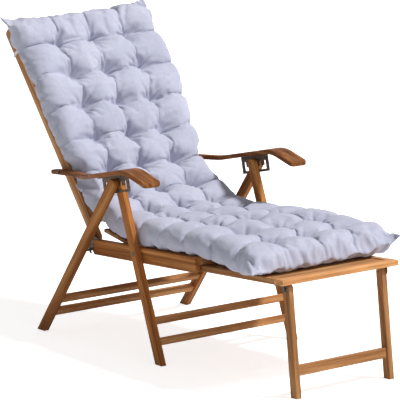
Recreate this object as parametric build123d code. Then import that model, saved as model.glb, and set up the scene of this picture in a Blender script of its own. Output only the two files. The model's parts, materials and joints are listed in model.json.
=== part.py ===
from build123d import *
from math import atan2, cos, degrees, hypot, radians, sin, tan
import os

# A reclining garden armchair in wood, with a pull-out footrest and a long tufted cushion.
# Sizes are in millimetres. The sitter faces -Y, X runs across the chair and Z is up.
# "left" and "right" are the sitter's own, so left is +X. The side view is drawn in Y and Z.

# Pivots and feet, in the side view
legs_pivot_y, legs_pivot_z = 68.5, 520.0        # where both legs meet under the arm
front_foot_y = -130.0                           # front leg's centreline at the floor
seat_pivot_y, seat_pivot_z = -9.0, 318.0        # seat rail on the front leg
back_pivot_past, back_pivot_rise = 25.4, 2.1    # back stile on the hook plate, from the rail's top end
arm_pivot_along, arm_pivot_behind = 233.3, 2.4  # arm on the back stile, from the back pivot
rest_pin_past, rest_pin_drop = 18.5, 33.0       # pin in the rear leg, from the rail's top end

# Seat
seat_half_width = 244.5
seat_front_y, seat_front_z = -278.0, 351.0      # top front corner of the seat rails
seat_slope = 3.55                               # degrees, falling to the rear
seat_length = 500.0
rail_depth, rail_thick = 46.5, 22.0
cross_rail_thick = 20.0
slat_thick, slat_recess = 10.0, 2.0
seat_slat_width, seat_slat_gap = 40.0, 12.0
cleat_depth, cleat_thick = 14.0, 12.0
bend_slope, bend_short, bend_rise = 13.3, 29.0, 33.0   # raised slats below the cushion's bend
bend_depth, bend_slat_count = 10.0, 3

# Back
back_angle = 38.0                               # degrees from upright
back_length = 746.0                             # from the pivot to the top of the stiles
stile_depth, stile_thick = 36.0, 18.0
stile_corner = 14.0
back_rail_width, back_rail_thick = 34.0, 20.0
back_rail_low = 67.0                            # bottom rail, from the back pivot
back_slat_width, back_slat_gap, back_slat_count = 42.0, 15.0, 10

# Legs
leg_thick = 20.0
front_leg_depth, rear_leg_depth = 29.0, 30.0
front_rail_heights = (123.0, 64.0)
rear_rail_heights = (112.0, 66.0)
front_rail_depth, front_rail_height = 16.0, 23.0
rear_rail_size = 20.0
wood_edge = 1.6                                 # bevel along the edges of the bars

# Arms
arm_thick = 14.4
arm_tail_width, arm_front_width, arm_overlap = 29.0, 65.0, 2.0
arm_tail_past, arm_tail_rise = 39.0, 3.5        # end of the tail, from the arm's pivot
arm_hollow_y, arm_hollow_top = 230.0, 521.0
arm_crest_y, arm_crest_top = -22.0, 580.0
arm_front_y, arm_front_top = -128.0, 551.5
arm_hollow_radius, arm_crest_radius = 300.0, 130.0
arm_corner, arm_edge = 14.0, 2.5

# Notched plate under each arm
plate_thick, plate_flange = 3.0, 18.0
notch_count, notch_step = 5, 7.3                # step in degrees of the back
arm_turn_share = 0.68                           # arm's turn on the stile for each turn of the back
notch_pin_radius, notch_play = 4.0, 0.6
notch_depth, channel_height, plate_bar = 9.0, 12.0, 8.0
plate_end = 17.0

# Footrest
footrest_drop = 28.5                            # top of the footrest below the top of the seat rails
footrest_thick, footrest_play = 17.0, 4.5
footrest_reach, footrest_overlap = 368.0, 82.0
footrest_travel = 330.0
footrest_side_width, footrest_board_width = 22.0, 38.0
footrest_slat_thick, footrest_slat_recess = 9.0, 3.0
footrest_slat_width, footrest_slat_gap, footrest_slat_count = 42.0, 9.0, 7
stud_radius, stud_bite, groove_depth = 3.5, 12.0, 7.5
stud_inset, stud_pitch = 12.0, 62.0

# Footrest legs
foot_pivot_y, foot_pivot_z = -620.0, 312.0
foot_leg_y = -660.0
foot_leg_depth, foot_leg_inset = 26.0, 32.0
foot_rail_z, foot_rail_depth, foot_rail_height = 77.0, 18.0, 30.0
hinge_plate_thick, hinge_plate_width = 3.0, 26.0

# Fasteners
bolt_radius, head_radius, head_thick = 4.0, 7.0, 4.0
nut_radius, nut_thick = 7.5, 5.0
screw_radius, screw_head_radius, screw_head_thick, screw_length = 1.8, 3.6, 1.6, 11.0
screw_sides = 10
pin_bite = 14.0                                 # how deep a pin sits in the rear leg
fit_play = 0.05                                 # radial play of a pin in its hole
side_play = 0.5                                 # gap between flat pieces that turn past each other
hook_thick, hook_ring, hook_height, hook_reach = 3.0, 13.0, 43.0, 75.0
hook_inset = 3.0                                # hook plate inside the outer face of the rail
hook_play, hook_swing = 0.3, 2.0                # swing is how far the mouth's direction turns, in degrees
overrun = 40.0                                  # how far cutting shapes reach past what they cut

# Cushion
cushion_inset = 0.5                             # sides, inside the outer faces of the seat rails
cushion_valley, cushion_crown = 66.0, 92.0      # thickness at the sewn lines and between them
cushion_lift = 0.3                              # clear of the slats below
cushion_side = 26.0                             # how far the sides bulge past the flat underside
cushion_head = 759.0                            # head end, from the back pivot
cushion_row, cushion_end_row = 115.0, 132.0
cushion_groove = 7.0                            # how much shallower the lengthwise grooves are
cushion_bend_radius, cushion_hollow_radius = 112.0, 58.0
cushion_foot = 307.0                            # foot end, past the front of the seat
foot_slope_length = 170.0
arm_pinch_from, arm_pinch_to, arm_pinch_corner = 104.0, 254.0, 10.0
tie_gap_index, tie_width, tie_thick, tie_play = 9, 10.0, 1.5, 0.6

# Side view planes: the whole chair, the seat and the back
side = Plane.YZ
slope, lean = radians(seat_slope), radians(back_angle)
seat_side = Plane(
    origin=(0, seat_front_y, seat_front_z), x_dir=(0, cos(slope), -sin(slope)), z_dir=(1, 0, 0))
back_pivot_u, back_pivot_v = seat_length + back_pivot_past, back_pivot_rise
back_side = Plane(
    origin=seat_side.from_local_coords(Vector(back_pivot_u, back_pivot_v, 0)),
    x_dir=(0, sin(lean), cos(lean)), z_dir=(1, 0, 0))

# Where each layer of flat pieces lies across the chair, from the inside out
rail_inner = seat_half_width - rail_thick
hook_outer = seat_half_width - hook_inset
hook_inner = hook_outer - hook_thick
stile_outer = rail_inner - side_play
stile_inner = stile_outer - stile_thick
front_leg_inner = seat_half_width + side_play
front_leg_outer = front_leg_inner + leg_thick
plate_inner = front_leg_outer + side_play + side_play
plate_outer = plate_inner + plate_thick
rear_leg_inner = plate_outer + side_play + side_play
rear_leg_outer = rear_leg_inner + leg_thick
arm_front_inner = front_leg_inner + arm_overlap
arm_front_outer = arm_front_inner + arm_front_width
footrest_half_width = rail_inner - footrest_play
foot_leg_outer = footrest_half_width - foot_leg_inset
cushion_half_width = seat_half_width - cushion_inset

nodes = {}


def slab(plane, face, x_from, x_to):
    """A flat face of a side view, given thickness across the chair."""
    return extrude(plane.offset(x_from) * face, amount=x_to - x_from)


def rod(plane, at, radius, x_from, x_to):
    """A round bar across the chair."""
    return slab(plane, Pos(*at) * Circle(radius), x_from, x_to)


def in_plane(plane, y, z):
    """A point of the side view in the coordinates of a side view plane."""
    local = plane.to_local_coords(Vector(0, y, z))
    return local.X, local.Y


def out_of_plane(plane, u, v):
    """A point given in a side view plane, as Y and Z of the chair."""
    point = plane.from_local_coords(Vector(u, v, 0))
    return point.Y, point.Z


def eased(part):
    """The same bar with the edges of its two broad faces bevelled."""
    broad = part.faces().sort_by(Axis.X)
    return chamfer(broad[0].edges() + broad[-1].edges(), wood_edge)


def both(part):
    """The piece and its mirror image on the other side of the chair."""
    return part, mirror(part, about=Plane.YZ)


def keep(name, *solids):
    nodes[name] = solids


def keep_sides(name, part):
    left, right = both(part)
    keep(name + "_left", left)
    keep(name + "_right", right)


def keep_both(name, *parts):
    keep(name, *[piece for part in parts for piece in both(part)])


def leg_face(foot_y, top_y, top_z, depth):
    """Side view of a leg: round at its top pivot, cut level at the floor."""
    angle = degrees(atan2(-top_z, foot_y - top_y))
    length = hypot(top_z, foot_y - top_y)
    bar = Rectangle(length + overrun, depth, align=(Align.MIN, Align.CENTER)) + Circle(depth / 2)
    floor = Pos(foot_y, 0) * Rectangle(length, length, align=(Align.CENTER, Align.MAX))
    return Location((top_y, top_z), angle) * bar - floor


def leg_point(foot_y, top_y, top_z, z):
    """Y of a leg's centreline at a height."""
    return foot_y + (top_y - foot_y) * z / top_z


def bar_face(along, across):
    """Section of a wooden bar with its corners taken off."""
    return chamfer(Rectangle(along, across).vertices(), wood_edge)


def cross_bar(plane, centre, along, across, angle, half_width):
    """A rail across the chair with bevelled long edges."""
    face = Location(centre, angle) * bar_face(along, across)
    return slab(plane, face, -half_width, half_width)


def bolt(plane, at, x_from, x_to):
    """A bolt across the frame with a six-sided head past x_to."""
    head = slab(plane, Pos(*at) * RegularPolygon(head_radius, 6), x_to, x_to + head_thick)
    return rod(plane, at, bolt_radius, x_from, x_to) + head


def prism(plane, at, radius, x_from, x_to):
    """A many-sided bar across the chair, which stands for a screw, a stud or its hole."""
    return slab(plane, Pos(*at) * RegularPolygon(radius, screw_sides), x_from, x_to)


def nut(plane, at, x_from):
    """A hexagonal nut round a bolt's inner end."""
    face = RegularPolygon(nut_radius, 6) - RegularPolygon(bolt_radius + notch_play, screw_sides)
    return slab(plane, Pos(*at) * face, x_from, x_from + nut_thick)


def hole(plane, at, x_from, x_to, radius=bolt_radius):
    return rod(plane, at, radius + fit_play, x_from, x_to)


legs_pivot = (legs_pivot_y, legs_pivot_z)
seat_pivot = (seat_pivot_y, seat_pivot_z)
back_pivot = out_of_plane(seat_side, back_pivot_u, back_pivot_v)
arm_pivot = out_of_plane(back_side, arm_pivot_along, -arm_pivot_behind)
foot_pivot = (foot_pivot_y, foot_pivot_z)
rest_pin_uv = (seat_length + rest_pin_past, -rest_pin_drop)
rest_pin = out_of_plane(seat_side, *rest_pin_uv)
rear_foot_y = legs_pivot_y + (rest_pin[0] - legs_pivot_y) * legs_pivot_z / (legs_pivot_z - rest_pin[1])


def make_front_legs():
    """Two front legs with two rails between them. The seat and the rear legs pivot on them."""
    face = leg_face(front_foot_y, *legs_pivot, front_leg_depth)
    leg = eased(slab(side, face, front_leg_inner, front_leg_outer))
    recess = front_leg_outer - head_thick
    for at in (legs_pivot, seat_pivot):
        leg -= hole(side, at, front_leg_inner, front_leg_outer)
    leg -= hole(side, seat_pivot, recess, front_leg_outer + overrun, head_radius)
    keep_sides("front_leg", leg)

    angle = degrees(atan2(legs_pivot_z, legs_pivot_y - front_foot_y))
    inset = (front_leg_depth - front_rail_depth) / 2 - wood_edge
    for name, z in zip(("upper", "lower"), front_rail_heights):
        centre = Location((leg_point(front_foot_y, *legs_pivot, z), z), angle) * Pos(0, inset)
        keep("front_rail_" + name, slab(
            side, centre * bar_face(front_rail_height, front_rail_depth),
            -front_leg_inner, front_leg_inner))

    seat_bolt = bolt(side, seat_pivot, rail_inner + stud_bite / 2, recess)
    keep_both("seat_pivot_bolts", seat_bolt)
    keep_both("front_leg_pins", rod(side, legs_pivot, bolt_radius, front_leg_inner, front_leg_outer))


def make_rear_legs():
    """Two rear legs with two rails, and the pins that the seat hooks over."""
    face = leg_face(rear_foot_y, *legs_pivot, rear_leg_depth)
    leg = eased(slab(side, face, rear_leg_inner, rear_leg_outer))
    blind = rear_leg_inner + pin_bite
    for at in (legs_pivot, rest_pin):
        leg -= hole(side, at, rear_leg_inner, blind)
    keep_sides("rear_leg", leg)

    angle = degrees(atan2(legs_pivot_z, legs_pivot_y - rear_foot_y))
    for name, z in zip(("upper", "lower"), rear_rail_heights):
        centre = (leg_point(rear_foot_y, *legs_pivot, z), z)
        keep("rear_rail_" + name,
             cross_bar(side, centre, rear_rail_size, rear_rail_size, angle, rear_leg_inner))

    keep_both("rear_leg_pins", rod(side, legs_pivot, bolt_radius, rear_leg_inner, blind))
    keep_both("seat_rest_pins", rod(side, rest_pin, bolt_radius, hook_inner, blind))


slat_seat = slat_recess + slat_thick            # how far the slats' underside lies below the rail top
cleat_foot = slat_seat + cleat_depth
stud_line = -footrest_drop - footrest_thick / 2
stud_places = [footrest_overlap - stud_inset, footrest_overlap - stud_inset - stud_pitch]
back_pivot_uv = (back_pivot_u, back_pivot_v)
seat_pivot_uv = in_plane(seat_side, *seat_pivot)
hook_front = back_pivot_u - hook_reach
cleat_end = hook_front - side_play
bend_end = seat_length - bend_short
bend_tip = bend_end - (bend_rise + slat_seat) / tan(radians(bend_slope))


def hook_face():
    """Steel plate in the seat rail's rear end, open forwards and down round the rest pin."""
    plate = Pos(hook_front, -rail_depth / 2) * Rectangle(
        seat_length - hook_front, hook_height, align=(Align.MIN, Align.CENTER))
    rings = [Pos(*at) * Circle(hook_ring) for at in (rest_pin_uv, back_pivot_uv)]
    body = make_hull((plate + rings).edges())
    leave_y = rest_pin[1] * 2 - legs_pivot_z - seat_pivot_z
    leave_z = legs_pivot_y + seat_pivot_y - rest_pin[0] * 2
    angle = degrees(atan2(leave_z, leave_y)) + seat_slope - hook_swing
    grip = bolt_radius + hook_play
    mouth = Location(rest_pin_uv, angle) * Polygon(
        (0, -grip), (overrun, -grip * 2), (overrun, grip * 2), (0, grip), align=None)
    return body - mouth - Pos(*rest_pin_uv) * Circle(grip)


def hook_screw_places():
    step = hook_height / 2 - screw_head_radius * 2
    place = hook_front + screw_head_radius * 2
    return [(place, -rail_depth / 2 - step), (place, -rail_depth / 2 + step)]


def make_bend():
    """Wedges on the cleats that carry raised slats below the bend of the cushion."""
    angle = radians(bend_slope)
    foot = bend_tip + bend_depth / sin(angle)
    low_end = (bend_end + bend_depth * sin(angle), bend_rise - bend_depth * cos(angle))
    wedge = make_face(Polyline(
        (bend_tip, -slat_seat), (foot, -slat_seat), low_end, (bend_end, bend_rise), close=True))
    keep_both("bend_wedges", slab(seat_side, wedge, rail_inner - cleat_thick, rail_inner))
    slats = []
    for index in range(bend_slat_count):
        back = seat_slat_width / 2 + index * (seat_slat_width + seat_slat_gap)
        place = (bend_end - back * cos(angle) + slat_thick / 2 * sin(angle),
                 bend_rise - back * sin(angle) - slat_thick / 2 * cos(angle))
        slats.append(cross_bar(
            seat_side, place, seat_slat_width, slat_thick, bend_slope, rail_inner - cleat_thick))
    keep("bend_slats", *slats)


def make_seat():
    """Seat frame: two rails, cleats, two cross rails, slats and the rear hooks."""
    face = Rectangle(seat_length, rail_depth, align=(Align.MIN, Align.MAX))
    rail = eased(slab(seat_side, face, rail_inner, seat_half_width))
    rail -= hole(seat_side, seat_pivot_uv, rail_inner + stud_bite / 2 - side_play, seat_half_width)
    for place in hook_screw_places():
        rail -= prism(seat_side, place, screw_radius + fit_play, rail_inner, hook_outer)
    kerf = Pos(seat_length, 0) * Rectangle(
        seat_length - hook_front, rail_depth, align=(Align.MAX, Align.MAX))
    rail -= slab(seat_side, kerf, hook_inner - fit_play, hook_outer + fit_play)
    groove_from = stud_places[-1]
    groove_to = stud_places[0] + footrest_travel + side_play
    groove = Pos((groove_from + groove_to) / 2, stud_line) * SlotCenterToCenter(
        groove_to - groove_from, (stud_radius + fit_play) * 2)
    rail -= slab(seat_side, groove, rail_inner, rail_inner + groove_depth)
    keep_sides("seat_rail", rail)

    cleat = Pos(cross_rail_thick, -slat_seat) * Rectangle(
        cleat_end - cross_rail_thick, cleat_depth, align=(Align.MIN, Align.MAX))
    keep_both("seat_cleats", slab(seat_side, cleat, rail_inner - cleat_thick, rail_inner))

    front_height = cleat_foot - slat_recess
    keep("seat_front_rail", cross_bar(
        seat_side, (cross_rail_thick / 2, -slat_recess - front_height / 2),
        cross_rail_thick, front_height, 0, rail_inner))
    rear_height = rail_depth - cleat_foot - wood_edge
    keep("seat_rear_rail", cross_bar(
        seat_side, (cleat_end - cross_rail_thick, -cleat_foot - rear_height / 2),
        cross_rail_thick, rear_height, 0, rail_inner))

    space = bend_tip - cross_rail_thick
    count = int(space / (seat_slat_width + seat_slat_gap))
    slats = []
    for index in range(count):
        place = (cross_rail_thick + (index + 1 / 2) * space / count, -slat_recess - slat_thick / 2)
        slats.append(cross_bar(seat_side, place, seat_slat_width, slat_thick, 0, rail_inner))
    keep("seat_slats", *slats)
    make_bend()

    plate = slab(seat_side, hook_face(), hook_inner, hook_outer)
    plate -= hole(seat_side, back_pivot_uv, hook_inner, hook_outer)
    screws = []
    for place in hook_screw_places():
        plate -= prism(seat_side, place, screw_radius + fit_play, hook_inner, hook_outer)
        shank = prism(seat_side, place, screw_radius, rail_inner, hook_outer)
        screws.append(shank + prism(seat_side, place, screw_head_radius,
                                    rail_inner - screw_head_thick, rail_inner))
    keep_both("seat_hooks", plate)
    keep_both("hook_screws", *screws)

    sleeve = prism(seat_side, back_pivot_uv, nut_radius, rail_inner, hook_inner)
    keep_both("back_pivot_sleeves", sleeve - hole(seat_side, back_pivot_uv, rail_inner, hook_inner))
    inner = stile_inner - side_play - nut_thick
    hinge = bolt(seat_side, back_pivot_uv, inner - head_thick / 4, hook_outer)
    keep_both("back_pivot_bolts", hinge)
    keep_both("back_pivot_nuts", nut(seat_side, back_pivot_uv, inner))


arm_pivot_uv = (arm_pivot_along, -arm_pivot_behind)
back_slat_pitch = back_slat_width + back_slat_gap
back_first = back_rail_low + back_rail_width / 2 + back_slat_gap + back_slat_width / 2
tie_at = back_first + (tie_gap_index + 1 / 2) * back_slat_pitch - tie_width / 2


def tie_band(spread):
    """Section of a stile, grown outwards to go round it."""
    return bar_face(stile_thick + spread * 2, stile_depth + spread * 2)


def make_back():
    """Back frame: two stiles, a top and a bottom rail and slats between them."""
    face = Rectangle(back_length, stile_depth, align=(Align.MIN, Align.CENTER))
    face = fillet(face.vertices().sort_by(Axis.X)[-2:], stile_corner) + Circle(stile_depth / 2)
    stile = eased(slab(back_side, face, stile_inner, stile_outer))
    stile -= hole(back_side, (0, 0), stile_inner, stile_outer)
    stile -= hole(back_side, arm_pivot_uv, stile_inner, stile_outer)
    keep_sides("back_stile", stile)

    high = back_length - back_rail_width
    for name, place in (("bottom", back_rail_low), ("top", high)):
        keep("back_rail_" + name, cross_bar(
            back_side, (place, 0), back_rail_width, back_rail_thick, 0, stile_inner))

    level = stile_depth / 2 - slat_recess - slat_thick / 2
    slats = []
    for index in range(back_slat_count):
        place = (back_first + index * back_slat_pitch, level)
        slats.append(cross_bar(back_side, place, back_slat_width, slat_thick, 0, stile_inner))
    keep("back_slats", *slats)

    outer = stile_outer + side_play + arm_tail_width + side_play
    inner = stile_inner - nut_thick
    keep_both("arm_pivot_bolts", bolt(back_side, arm_pivot_uv, inner - head_thick / 4, outer))
    keep_both("arm_pivot_nuts", nut(back_side, arm_pivot_uv, inner))

    x_mid = (stile_inner + stile_outer) / 2
    ring = Plane(origin=back_side.from_local_coords(Vector(tie_at, 0, x_mid)),
                 x_dir=(1, 0, 0), z_dir=back_side.x_dir)
    band = tie_band(tie_thick + tie_play) - tie_band(tie_play)
    keep_both("cushion_ties", extrude(ring * band, amount=tie_width))


arm_tail_y = arm_pivot[0] + arm_tail_past
arm_slope = atan2(arm_crest_top - arm_hollow_top, arm_hollow_y - arm_crest_y)
plate_side = Plane(origin=(0, *legs_pivot), x_dir=(0, cos(arm_slope), -sin(arm_slope)),
                   z_dir=(1, 0, 0))


def turned(y, z, angle):
    """A side view point turned about the origin, from Y towards Z."""
    return y * cos(angle) - z * sin(angle), y * sin(angle) + z * cos(angle)


def notch_places():
    """Where the leg pin lies in the arm for each setting of the back, in the plate's own view."""
    places = []
    for index in range(notch_count):
        tilt = radians(notch_step * (index - (notch_count - 1) / 2))
        y, z = turned(arm_pivot[0] - back_pivot[0], arm_pivot[1] - back_pivot[1], -tilt)
        reach_y = legs_pivot_y - back_pivot[0] - y
        reach_z = legs_pivot_z - back_pivot[1] - z
        y, z = turned(reach_y, reach_z, (1 - arm_turn_share) * tilt)
        places.append(in_plane(plate_side, arm_pivot[0] + y, arm_pivot[1] + z))
    return places


def arm_top_line(drop):
    points = [(arm_tail_y, arm_pivot[1] + arm_tail_rise - drop), (arm_hollow_y, arm_hollow_top - drop),
              (arm_crest_y, arm_crest_top - drop), (arm_front_y, arm_front_top - drop)]
    return FilletPolyline(*points, radius=[arm_hollow_radius, arm_crest_radius])


def arm_under():
    """How far the arm's underside lies above the leg pivot, square to the plate."""
    rise = (arm_hollow_y - legs_pivot_y) * tan(arm_slope)
    return (arm_hollow_top + rise - arm_thick - legs_pivot_z) * cos(arm_slope)


def arm_outline():
    """The arm from above: a broad front that draws in to a narrow tail beside the stile."""
    tail_inner = stile_outer + side_play
    tail_outer = tail_inner + arm_tail_width
    neck_y = arm_pivot[0] - stile_depth
    waist_y = (arm_pivot[0] + legs_pivot_y) / 2
    inner_line = [(tail_inner, arm_tail_y), (tail_inner, neck_y)]
    sweep = Spline((tail_inner, neck_y), (arm_front_inner, waist_y), tangents=[(0, -1), (0, -1)])
    outer = Spline((arm_front_outer, legs_pivot_y), (tail_outer, neck_y), tangents=[(0, 1), (0, 1)])
    edges = [
        Line(*inner_line), sweep, Line((arm_front_inner, waist_y), (arm_front_inner, arm_front_y)),
        Line((arm_front_inner, arm_front_y), (arm_front_outer, arm_front_y)),
        Line((arm_front_outer, arm_front_y), (arm_front_outer, legs_pivot_y)), outer,
        Line((tail_outer, neck_y), (tail_outer, arm_tail_y)),
        Line((tail_outer, arm_tail_y), (tail_inner, arm_tail_y))]
    face = make_face(edges)
    return fillet(face.vertices().sort_by(Axis.Y)[:2], arm_corner)


def plate_screw_places(places):
    """Half way between the outer notches, clear of the leg tops."""
    return [(places[0][0] + places[1][0]) / 2, (places[-1][0] + places[-2][0]) / 2]


def make_arms():
    """Two bent arms, each with a notched steel plate under it."""
    top, under = arm_top_line(0), arm_top_line(arm_thick)
    ends = [Line(top @ 0, under @ 0), Line(top @ 1, under @ 1)]
    profile = make_face(top.edges() + under.edges() + ends)
    arm = slab(side, profile, stile_outer, arm_front_outer + overrun)
    arm &= extrude(Plane.XY * arm_outline(), amount=arm_crest_top + overrun)
    arm = chamfer(arm.edges().filter_by(lambda e: e.length > arm_thick * 2), arm_edge)
    tail = stile_outer + side_play
    arm -= hole(side, arm_pivot, tail, tail + arm_tail_width)

    places = notch_places()
    under_arm = arm_under()
    front, rear = places[-1][0] - plate_end, places[0][0] + plate_end
    floor = -notch_depth - channel_height - plate_bar
    face = Pos((front + rear) / 2, (floor + under_arm) / 2) * bar_face(
        rear - front, under_arm - floor)
    half = notch_pin_radius + notch_play
    channel_top = -notch_depth
    face -= Pos((places[0][0] + places[-1][0]) / 2, channel_top - channel_height / 2) * bar_face(
        places[0][0] - places[-1][0] + half * 2, channel_height)
    for u, v in places:
        face -= Pos(u, v) * Circle(half)
        face -= Pos(u, v) * Rectangle(half * 2, v - channel_top + channel_height / 2,
                                      align=(Align.CENTER, Align.MAX))
    plate = slab(plate_side, face, plate_inner, plate_outer)
    flange = Pos(front + wood_edge, under_arm) * Rectangle(
        rear - front - wood_edge * 2, plate_thick, align=(Align.MIN, Align.MAX))
    plate += slab(plate_side, flange, plate_outer, plate_outer + plate_flange)
    plate -= arm

    screws = []
    for u in plate_screw_places(places):
        at = Plane(origin=plate_side.from_local_coords(
            Vector(u, under_arm - plate_thick, plate_outer + plate_flange / 2)),
            x_dir=(1, 0, 0), z_dir=plate_side.y_dir)
        shank = extrude(at * RegularPolygon(screw_radius, screw_sides), amount=screw_length)
        head = extrude(at * RegularPolygon(screw_head_radius, screw_sides), amount=-screw_head_thick)
        screws.append(shank + head)
        bore = extrude(at * RegularPolygon(screw_radius + fit_play, screw_sides), amount=screw_length)
        plate -= bore
        arm -= bore
    keep_sides("arm", arm)
    keep_sides("notch_plate", plate)
    for name, index in (("left", 0), ("right", 1)):
        keep("plate_screws_" + name, *[both(screw)[index] for screw in screws])


def make_footrest():
    """Footrest frame that slides in grooves inside the seat rails."""
    top = -footrest_drop
    side_inner = footrest_half_width - footrest_side_width
    length = footrest_reach + footrest_overlap - footrest_board_width
    face = Pos(footrest_overlap, top) * Rectangle(
        length, footrest_thick, align=(Align.MAX, Align.MAX))
    rail = eased(slab(seat_side, face, side_inner, footrest_half_width))
    for place in stud_places:
        rail -= prism(seat_side, (place, stud_line), stud_radius + fit_play,
                      side_inner, footrest_half_width)
    keep_sides("footrest_rail", rail)

    board_middle = -footrest_reach + footrest_board_width / 2
    board = Pos(board_middle, top - footrest_thick / 2) * RectangleRounded(
        footrest_board_width, footrest_thick, footrest_thick / 4)
    keep("footrest_board", slab(seat_side, board, -footrest_half_width, footrest_half_width))

    keep("footrest_rear_rail", cross_bar(
        seat_side, (footrest_overlap - footrest_side_width / 2, top - footrest_thick / 2),
        footrest_side_width, footrest_thick, 0, side_inner))
    first = -footrest_reach + footrest_board_width + footrest_slat_gap + footrest_slat_width / 2
    level = top - footrest_slat_recess - footrest_slat_thick / 2
    slats = []
    for index in range(footrest_slat_count):
        place = (first + index * (footrest_slat_width + footrest_slat_gap), level)
        slats.append(cross_bar(
            seat_side, place, footrest_slat_width, footrest_slat_thick, 0, side_inner))
    keep("footrest_slats", *slats)

    groove_end = rail_inner + groove_depth - side_play
    keep_both("footrest_studs", *[
        prism(seat_side, (place, stud_line), stud_radius, side_inner, groove_end)
        for place in stud_places])


def make_footrest_legs():
    """A folding leg frame under the front of the footrest, hung on two angle plates."""
    inner = foot_leg_outer - leg_thick
    face = leg_face(foot_leg_y, *foot_pivot, foot_leg_depth)
    leg = eased(slab(side, face, inner, foot_leg_outer))
    leg -= hole(side, foot_pivot, inner, foot_leg_outer)
    keep_sides("footrest_leg", leg)
    angle = degrees(atan2(foot_pivot_z, foot_pivot_y - foot_leg_y))
    centre = (leg_point(foot_leg_y, *foot_pivot, foot_rail_z), foot_rail_z)
    keep("footrest_leg_rail", cross_bar(
        side, centre, foot_rail_height, foot_rail_depth, angle, inner))

    u, v = in_plane(seat_side, *foot_pivot)
    under = -footrest_drop - footrest_thick
    plate_from = foot_leg_outer + side_play
    plate_to = plate_from + hinge_plate_thick
    tongue = Pos(u, v) * (Circle(hinge_plate_width / 2) + Rectangle(
        hinge_plate_width, under - v, align=(Align.CENTER, Align.MIN)))
    plate = slab(seat_side, tongue, plate_from, plate_to)
    flange = Pos(u, under) * Rectangle(
        hinge_plate_width, hinge_plate_thick, align=(Align.CENTER, Align.MAX))
    plate += slab(seat_side, flange, plate_to, footrest_half_width - wood_edge * 2)
    plate -= hole(seat_side, (u, v), plate_from, plate_to)
    keep_both("leg_hinge_plates", plate)
    keep_both("leg_hinge_bolts", bolt(seat_side, (u, v), inner, plate_to))


def tufted_top(edges_at, valleys, crown):
    """Arcs between the sewn lines, rising by the crown over each puff."""
    arcs = []
    for start, end, low, high in zip(edges_at, edges_at[1:], valleys, valleys[1:]):
        arcs.append(ThreePointArc((start, low), ((start + end) / 2, (low + high) / 2 + crown),
                                  (end, high)))
    return arcs


def across_face(low, valley, crown):
    """Section of the cushion across the chair: four puffs and bulging sides."""
    flat = cushion_half_width - cushion_side
    valley += cushion_groove
    column = cushion_half_width / 2
    columns = [-flat, -column, 0, column, flat]
    arcs = tufted_top(columns, [valley] * len(columns), crown)
    middle = (low + valley) / 2
    sides = [ThreePointArc((sign * flat, low), (sign * cushion_half_width, middle),
                           (sign * flat, valley)) for sign in (-1, 1)]
    return make_face(arcs + sides + [Line((-flat, low), (flat, low))])


def across_plane(plane, at):
    """Plane square to the cushion's length: X across the chair, Y away from the slats."""
    return Plane(origin=plane.from_local_coords(Vector(at, 0, 0)), x_dir=(1, 0, 0),
                 z_dir=plane.x_dir * -1)


def side_profile(edges_at, floor_line, valleys, end_x, end_low):
    """Outline of the cushion from the side, from its foot or head end to the last sewn line."""
    crown = cushion_crown - cushion_valley
    arcs = tufted_top(edges_at, valleys, crown)
    start = floor_line[0]
    bulge = ThreePointArc(start, (end_x, (end_low + valleys[0]) / 2), (edges_at[0], valleys[0]))
    floor_lines = [Line(a, b) for a, b in zip(floor_line, floor_line[1:])]
    closing = Line(floor_line[-1], (edges_at[-1], valleys[-1]))
    return make_face(arcs + [bulge, closing] + floor_lines)


def half_plane(plane_angle, distance):
    """Side view region in front of a line that lies a distance in front of the back pivot."""
    size = cushion_head
    box = Pos(0, distance) * Rectangle(size * 2, size, align=(Align.CENTER, Align.MIN))
    return Location(back_pivot, 90 - plane_angle) * box


def as_side(plane, face):
    """A face drawn in the seat's or back's own view, moved into the chair's side view."""
    angle = degrees(atan2(plane.x_dir.Z, plane.x_dir.Y))
    return Location((plane.origin.Y, plane.origin.Z), angle) * face


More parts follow.
